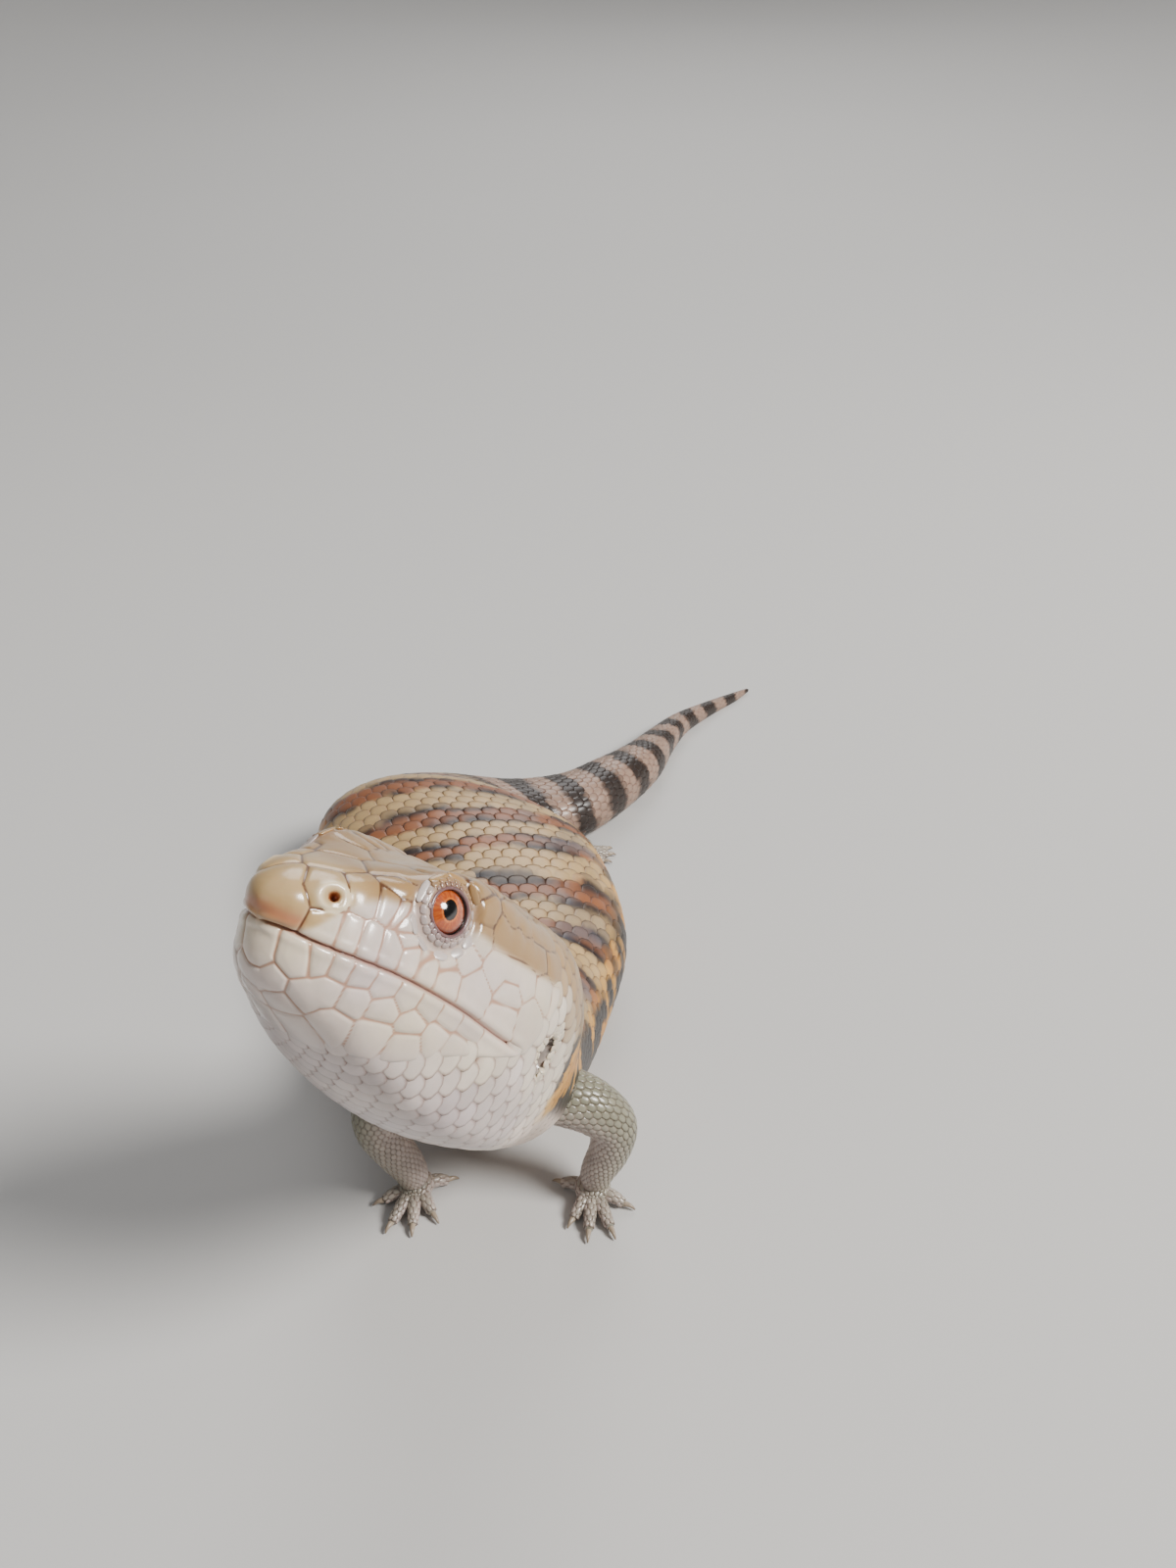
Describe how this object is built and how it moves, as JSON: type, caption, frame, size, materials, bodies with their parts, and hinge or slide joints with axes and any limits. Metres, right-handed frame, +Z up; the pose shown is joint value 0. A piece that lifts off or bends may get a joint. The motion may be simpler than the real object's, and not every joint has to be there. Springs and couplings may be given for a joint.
{
  "type": "blue tongued skink model",
  "caption": "Still life-size model of a young blue tongued skink resting on its belly with its chest propped on its forelegs and its head raised.",
  "frame": {"origin": "on the floor under the middle of the belly, on the flat where the belly rests", "axes": "-Y the way the animal faces, +Y towards the tail, +X its left, +Z up"},
  "size_m": [0.0861, 0.1835, 0.0699],
  "materials": {
    "head_skin": "glossy smooth scales, tan above and cream below",
    "body_skin": "glossy overlapping scales with tan, orange-brown and dark bands",
    "tail_skin": "glossy overlapping scales with dark bands",
    "limb_skin": "glossy small olive-grey scales",
    "eye": "wet, orange-brown iris with a black pupil",
    "claw": "smooth horn"
  },
  "bodies": {
    "root": {"claw_forefoot_left_1": "claw", "claw_forefoot_left_2": "claw", "claw_forefoot_left_3": "claw", "claw_forefoot_left_4": "claw", "claw_forefoot_left_5": "claw", "claw_forefoot_right_1": "claw", "claw_forefoot_right_2": "claw", "claw_forefoot_right_3": "claw", "claw_forefoot_right_4": "claw", "claw_forefoot_right_5": "claw", "claw_hindfoot_left_1": "claw", "claw_hindfoot_left_2": "claw", "claw_hindfoot_left_3": "claw", "claw_hindfoot_left_4": "claw", "claw_hindfoot_left_5": "claw", "claw_hindfoot_right_1": "claw", "claw_hindfoot_right_2": "claw", "claw_hindfoot_right_3": "claw", "claw_hindfoot_right_4": "claw", "claw_hindfoot_right_5": "claw", "eye_left": "eye", "eye_right": "eye", "forefoot_left": "limb_skin", "forefoot_right": "limb_skin", "foreleg_left_lower": "limb_skin", "foreleg_left_upper": "limb_skin", "foreleg_right_lower": "limb_skin", "foreleg_right_upper": "limb_skin", "head": "head_skin", "hindfoot_left": "limb_skin", "hindfoot_right": "limb_skin", "hindleg_left_lower": "limb_skin", "hindleg_left_upper": "limb_skin", "hindleg_right_lower": "limb_skin", "hindleg_right_upper": "limb_skin", "neck": "body_skin", "tail_base": "tail_skin", "tail_middle": "tail_skin", "tail_tip": "tail_skin", "torso_front": "body_skin", "torso_rear": "body_skin"}
  },
  "joints": []
}
